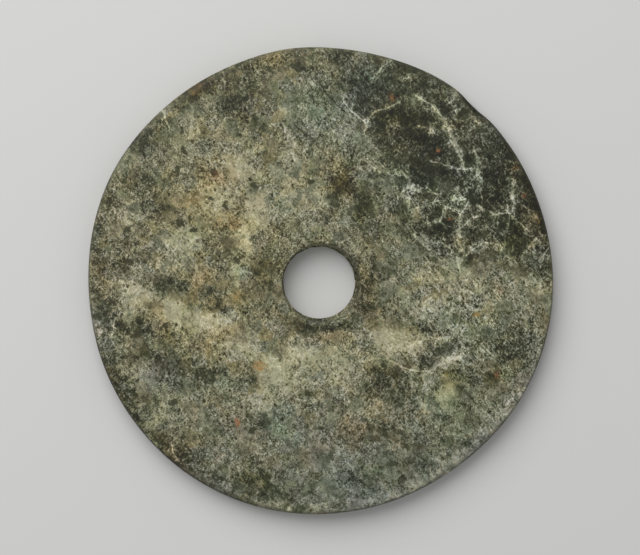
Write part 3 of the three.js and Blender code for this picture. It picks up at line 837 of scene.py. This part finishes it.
# The grain is calmer in the cream and deep places and on the ground edge
grain = crumbs * CRUMB_TONE + grit * (GRIT_TONE - cream * 0.33)
grain = grain + dark_grains.clamped() * DARK_GRAIN_TONE + black_grains * BLACK_GRAIN_TONE
grain = grain + hairs * (HAIR_TONE + netting * 0.1)
grain = grain + pale_flecks.clamped() * (PALE_FLECK_TONE + deep * 0.07 - cream * 0.05)
grain = grain * field("graininess") * (1 - calm * 0.6) * (1 - deep * 0.14) * (1 - ground_edge * 0.4)
mottle = cream * CREAM_TONE + deep * DEEP_TONE + blotches * BLOTCH_TONE + clots * CLOT_TONE
mottle = mottle + large_tone * LARGE_PATCH_TONE + small_tone * SMALL_PATCH_TONE + grain
tone = MEAN_TONE + (base - MIDDLE_TONE) * CLOUD_TONE + mottle * (1 - vein * 0.4)
tone = tone + net + vein * VEIN_TONE + crack * CRACK_TONE
tone = tone + (ORE_TONE - tone) * ore * ORE_COVER
stone_colour = shade.node("ShaderNodeValToRGB", {"stops": STONE_COLOURS}, {"Fac": tone})

# The patches differ in tint. Pale flecks are nearly neutral, and the dark grains take on the stone's olive
fine_tone = grain + net * 0.3 - 0.08
warmth = field("warmth") - 0.06 + blotches * 0.5 + clots * 0.2 + large_warmth * 0.6 + small_warmth * 0.22
warmth = warmth * (1 - cream * 0.45) - cream * 0.05 - fine_tone * 0.5
blueness = field("blueness") + 0.08 + large_blueness * 0.6 + small_blueness * 0.22
blueness = blueness * (1 - cream * 0.3) + fine_tone * 1.5
stone_colour = tinted(stone_colour, BROWN_TINT, warmth)
stone_colour = tinted(stone_colour, GREEN_TINT, warmth * -1)
# The blue-grey tint is partly the stone's own colour and partly painted sheen along the lower rim
stone_colour = tinted(stone_colour, BLUE_AND_SHEEN_TINT, blueness)
stone_colour = tinted(stone_colour, OCHRE_TINT, blueness * -1)

rust = (field("rust") + clots * 0.6 + crumbs * 0.5).ramped(0.15, 0.9)
rust_colour = blended(OCHRE_RUST, RED_RUST, field("redness"))
stone_colour = blended(stone_colour, rust_colour, rust * (0.66 + crumbs * 1.4))
stone_colour = blended(stone_colour, GROUND_EDGE_GREY, ground_edge * 0.15)
# The very edge is darkened: partly old dirt, partly painted shade where the edge turns away from the light
stone_colour = tinted(stone_colour, DIRT_AND_SHADE_TINT, field("rim_dirt"))

bump = shade.node("ShaderNodeBump", {}, {
    "Strength": 0.5, "Distance": BUMP_DEPTH, "Height": clots * 0.3 + grit * 0.5 - crack * 0.5
})
surface = shade.node("ShaderNodeBsdfPrincipled", {}, {
    "Base Color": stone_colour, "Roughness": WORN_POLISH + clots * 0.3 + grit * 0.2,
    "IOR": NEPHRITE_IOR, "Specular IOR Level": GLOSS, "Normal": bump
})
shade.node("ShaderNodeOutputMaterial", {}, {"Surface": surface})
disc_mesh.materials.append(nephrite)

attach(disc, "root")
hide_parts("disc")

# ---------------------------------------------------------------------------------------------------------
# The studio: a plain pale floor under the disc, a wide soft lamp above its top left, and even light all
# round. Its sizes and places are in metres.
# ---------------------------------------------------------------------------------------------------------
FLOOR_HALF = 3.0
PAPER_GREY = linear(205, 205, 203)
LAMP_PLACE = Vector((-0.55, 1.0, 1.25))
LAMP_WIDTH = 1.8
LAMP_POWER = 26
ROOM_LIGHT = 0.45

floor_mesh = bpy.data.meshes.new("floor")
floor_corners = [(-1, -1), (1, -1), (1, 1), (-1, 1)]
floor_points = [(across * FLOOR_HALF, up * FLOOR_HALF, low[2]) for across, up in floor_corners]
floor_mesh.from_pydata(floor_points, [], [(0, 1, 2, 3)])
floor = bpy.data.objects.new("floor", floor_mesh)
bpy.context.scene.collection.objects.link(floor)
paper = bpy.data.materials.new("floor_paper")
paper.use_nodes = True
paper_surface = paper.node_tree.nodes["Principled BSDF"]
paper_surface.inputs["Base Color"].default_value = PAPER_GREY
paper_surface.inputs["Roughness"].default_value = 0.9
floor_mesh.materials.append(paper)

lamp_data = bpy.data.lights.new("soft_lamp", "AREA")
lamp_data.shape = "DISK"
lamp_data.size = LAMP_WIDTH
lamp_data.energy = LAMP_POWER
lamp = bpy.data.objects.new("soft_lamp", lamp_data)
lamp.location = LAMP_PLACE
lamp.rotation_euler = (-LAMP_PLACE).to_track_quat("-Z", "Y").to_euler()
bpy.context.scene.collection.objects.link(lamp)

world = bpy.data.worlds.new("room")
world.use_nodes = True
room_light = world.node_tree.nodes["Background"]
room_light.inputs["Color"].default_value = (1, 1, 1, 1)
room_light.inputs["Strength"].default_value = ROOM_LIGHT
bpy.context.scene.world = world
bpy.context.scene.view_settings.view_transform = "Standard"

# ---------------------------------------------------------------------------------------------------------
# The camera looks straight down on the disc, from far enough away that both sides of its rim stay hidden.
# ---------------------------------------------------------------------------------------------------------
VIEW_WIDTH = 0.3027  # metres from side to side, at half the disc's height
LENS = 120
SENSOR = 36
AIM = (-0.00035, 0.0015)  # metres across and up from the disc's middle
camera_data = bpy.data.cameras.new("camera")
camera_data.lens = LENS
camera_data.sensor_width = SENSOR
camera = bpy.data.objects.new("camera", camera_data)
camera.location = (*AIM, high[2] / 2 + VIEW_WIDTH * LENS / SENSOR)
bpy.context.scene.collection.objects.link(camera)
bpy.context.scene.camera = camera
